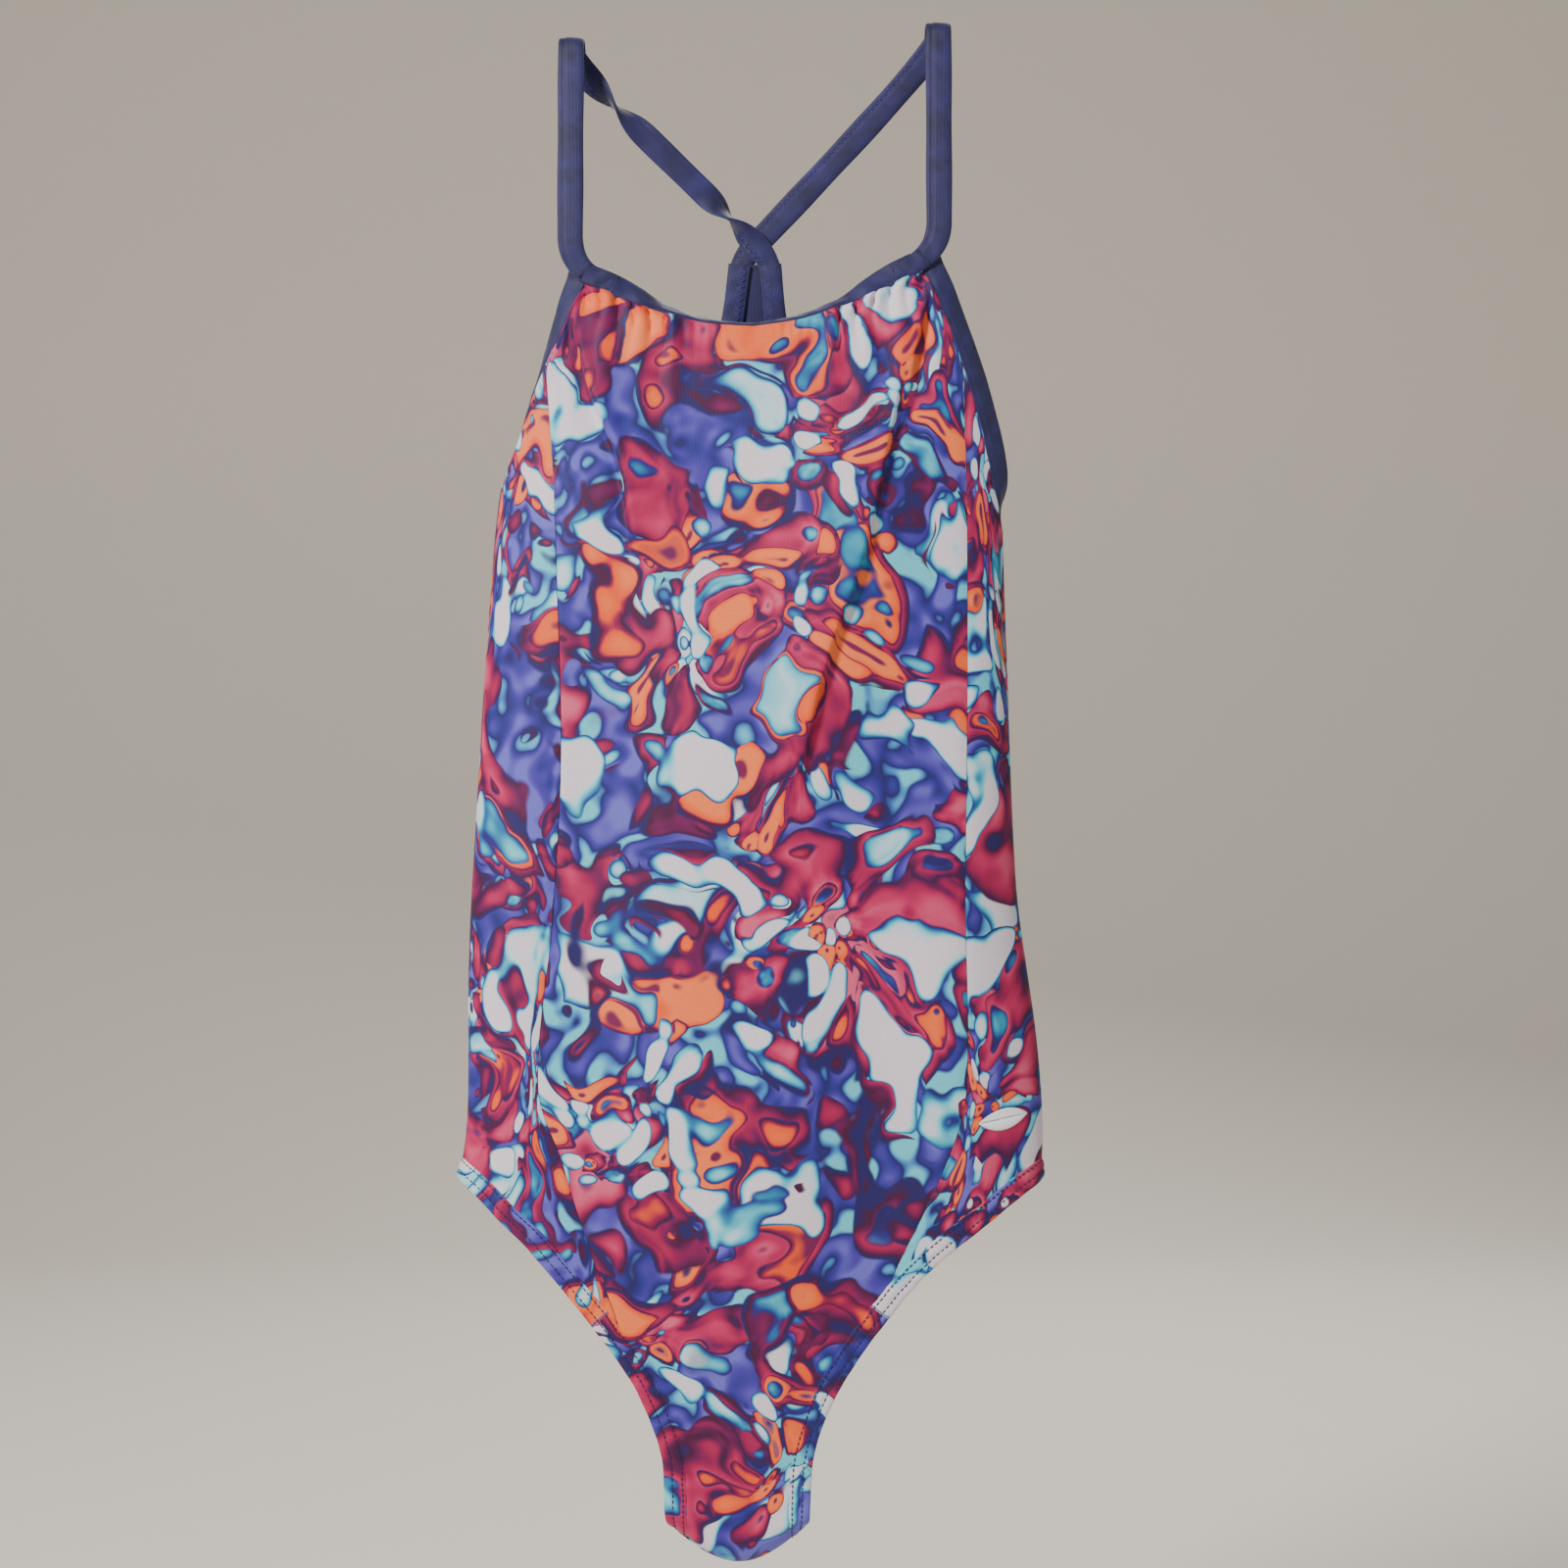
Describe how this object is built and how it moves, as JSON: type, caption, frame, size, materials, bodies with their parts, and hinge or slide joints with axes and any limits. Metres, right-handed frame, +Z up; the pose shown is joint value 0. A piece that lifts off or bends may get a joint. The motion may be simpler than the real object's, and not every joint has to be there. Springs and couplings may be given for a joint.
{
  "type": "one-piece training suit",
  "caption": "Sleeveless one-piece suit of printed stretch knit with thin straps crossed at the back, folded bindings and turned leg hems, hanging from its straps.",
  "frame": {"origin": "midway between the undersides of the two strap tops, where the suit hangs on a rod or hanger", "axes": "+Z up, -Y out of the front of the suit, +X towards the wearer's left side"},
  "size_m": [0.274, 0.0544, 0.7146],
  "materials": {
    "printed_knit": "matt four-way-stretch knit with an abstract floral print in crimson, teal, violet, orange and white",
    "navy_knit": "indigo-navy stretch knit, soft sheen",
    "lining_knit": "fine matt lining knit",
    "elastic": "matt swimwear elastic",
    "navy_thread": "polyester sewing thread",
    "white_thread": "satin-stitched embroidery thread",
    "label_satin": "smooth woven satin label, blank"
  },
  "bodies": {
    "garment": {"front_centre_panel": "printed_knit", "front_side_panel_left": "printed_knit", "front_side_panel_right": "printed_knit", "back_panel_left": "printed_knit", "back_panel_right": "printed_knit", "back_yoke": "navy_knit", "front_lining": "lining_knit", "crotch_lining": "lining_knit", "neckline_binding": "navy_knit", "neckline_elastic": "elastic", "bartack_back": "navy_thread", "hip_motif": "white_thread", "armhole_binding_left": "navy_knit", "armhole_elastic_left": "elastic", "leg_hem_left": "printed_knit", "leg_elastic_left": "elastic", "strap_left": "navy_knit", "strap_elastic_left": "elastic", "bartack_front_left": "navy_thread", "armhole_binding_right": "navy_knit", "armhole_elastic_right": "elastic", "leg_hem_right": "printed_knit", "leg_elastic_right": "elastic", "strap_right": "navy_knit", "strap_elastic_right": "elastic", "bartack_front_right": "navy_thread"},
    "label": {"care_label": "label_satin"}
  },
  "joints": [
    {"name": "label_flip", "type": "hinge", "parent": "garment", "child": "label", "pos_m": [0, 0.0175, -0.172], "axis": [-1, 0, 0], "range_deg": [0, 45]}
  ]
}
